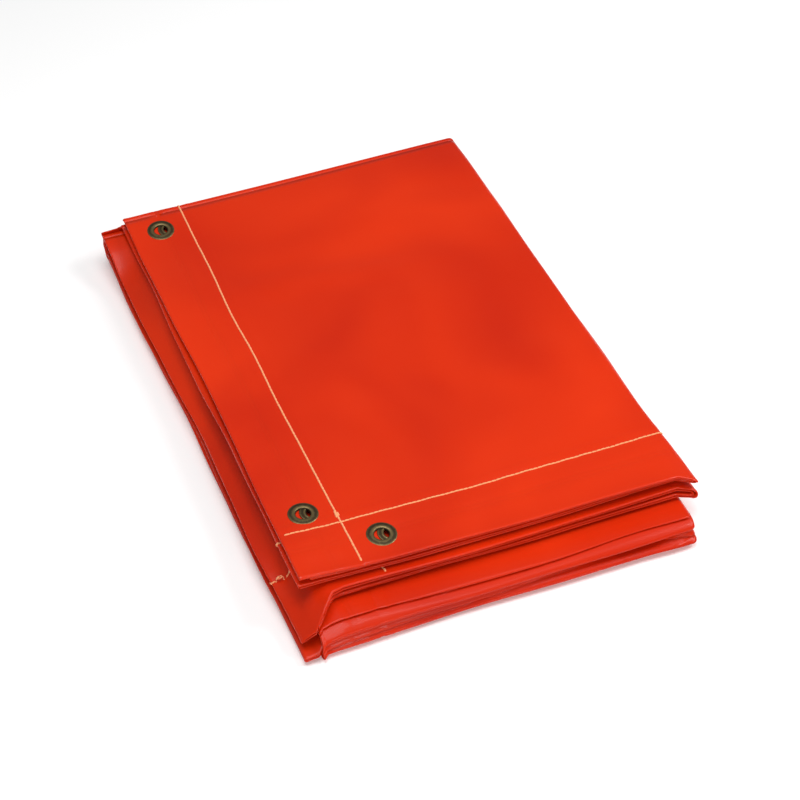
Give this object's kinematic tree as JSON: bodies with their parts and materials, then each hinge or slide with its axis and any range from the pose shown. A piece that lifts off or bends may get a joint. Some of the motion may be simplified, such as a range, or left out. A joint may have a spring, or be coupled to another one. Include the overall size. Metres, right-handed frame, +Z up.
{
  "type": "welding curtain screen",
  "caption": "Orange PVC welding curtain folded into a flat bundle, with stitched hems and brass eyelets; its last fold opens.",
  "frame": {"origin": "middle of the underside of the folded bundle, on the surface it lies on", "axes": "+Z up; +Y towards the fold spine, -Y towards the hem edges and the front roll; +X towards the closed side fold, -X towards the side hem with eyelets"},
  "size_m": [0.3356, 0.5052, 0.0473],
  "materials": {
    "pvc_sheet": "orange-red glossy flexible PVC film, slightly translucent",
    "seam_thread": "cream and yellow twisted sewing thread in one lockstitch line",
    "eyelet_brass": "aged dark brass, rolled and slightly worn on the rim"
  },
  "bodies": {
    "lower_half": {"sheet_lower_half": "pvc_sheet", "thread_left_lower_half": "seam_thread", "thread_right_lower_half": "seam_thread", "eyelet_left_3": "eyelet_brass", "washer_left_3": "eyelet_brass", "eyelet_left_4": "eyelet_brass", "washer_left_4": "eyelet_brass", "eyelet_right_3": "eyelet_brass", "washer_right_3": "eyelet_brass", "eyelet_right_4": "eyelet_brass", "washer_right_4": "eyelet_brass", "sheet_outer_spine": "pvc_sheet", "sheet_inner_spine": "pvc_sheet", "thread_left_outer_spine": "seam_thread", "thread_left_inner_spine": "seam_thread", "thread_right_outer_spine": "seam_thread", "thread_right_inner_spine": "seam_thread"},
    "upper_half": {"sheet_top_quarter": "pvc_sheet", "sheet_second_quarter": "pvc_sheet", "thread_left_top_quarter": "seam_thread", "thread_left_second_quarter": "seam_thread", "thread_right_top_quarter": "seam_thread", "thread_right_second_quarter": "seam_thread", "thread_top_hem": "seam_thread", "thread_bottom_hem": "seam_thread", "eyelet_left_1": "eyelet_brass", "washer_left_1": "eyelet_brass", "eyelet_left_2": "eyelet_brass", "washer_left_2": "eyelet_brass", "eyelet_left_5": "eyelet_brass", "washer_left_5": "eyelet_brass", "eyelet_left_6": "eyelet_brass", "washer_left_6": "eyelet_brass", "eyelet_right_1": "eyelet_brass", "washer_right_1": "eyelet_brass", "eyelet_right_2": "eyelet_brass", "washer_right_2": "eyelet_brass", "eyelet_right_5": "eyelet_brass", "washer_right_5": "eyelet_brass", "eyelet_right_6": "eyelet_brass", "washer_right_6": "eyelet_brass", "eyelet_top_1": "eyelet_brass", "washer_top_1": "eyelet_brass", "eyelet_top_2": "eyelet_brass", "washer_top_2": "eyelet_brass", "eyelet_top_3": "eyelet_brass", "washer_top_3": "eyelet_brass", "eyelet_top_4": "eyelet_brass", "washer_top_4": "eyelet_brass"}
  },
  "joints": [
    {"name": "last_fold", "type": "hinge", "parent": "lower_half", "child": "upper_half", "pos_m": [0, 0.24447, 0.0237], "axis": [-1, 0, 0], "range_deg": [0, 180], "deforming": ["sheet_outer_spine", "sheet_inner_spine", "thread_left_outer_spine", "thread_left_inner_spine", "thread_right_outer_spine", "thread_right_inner_spine"]}
  ]
}
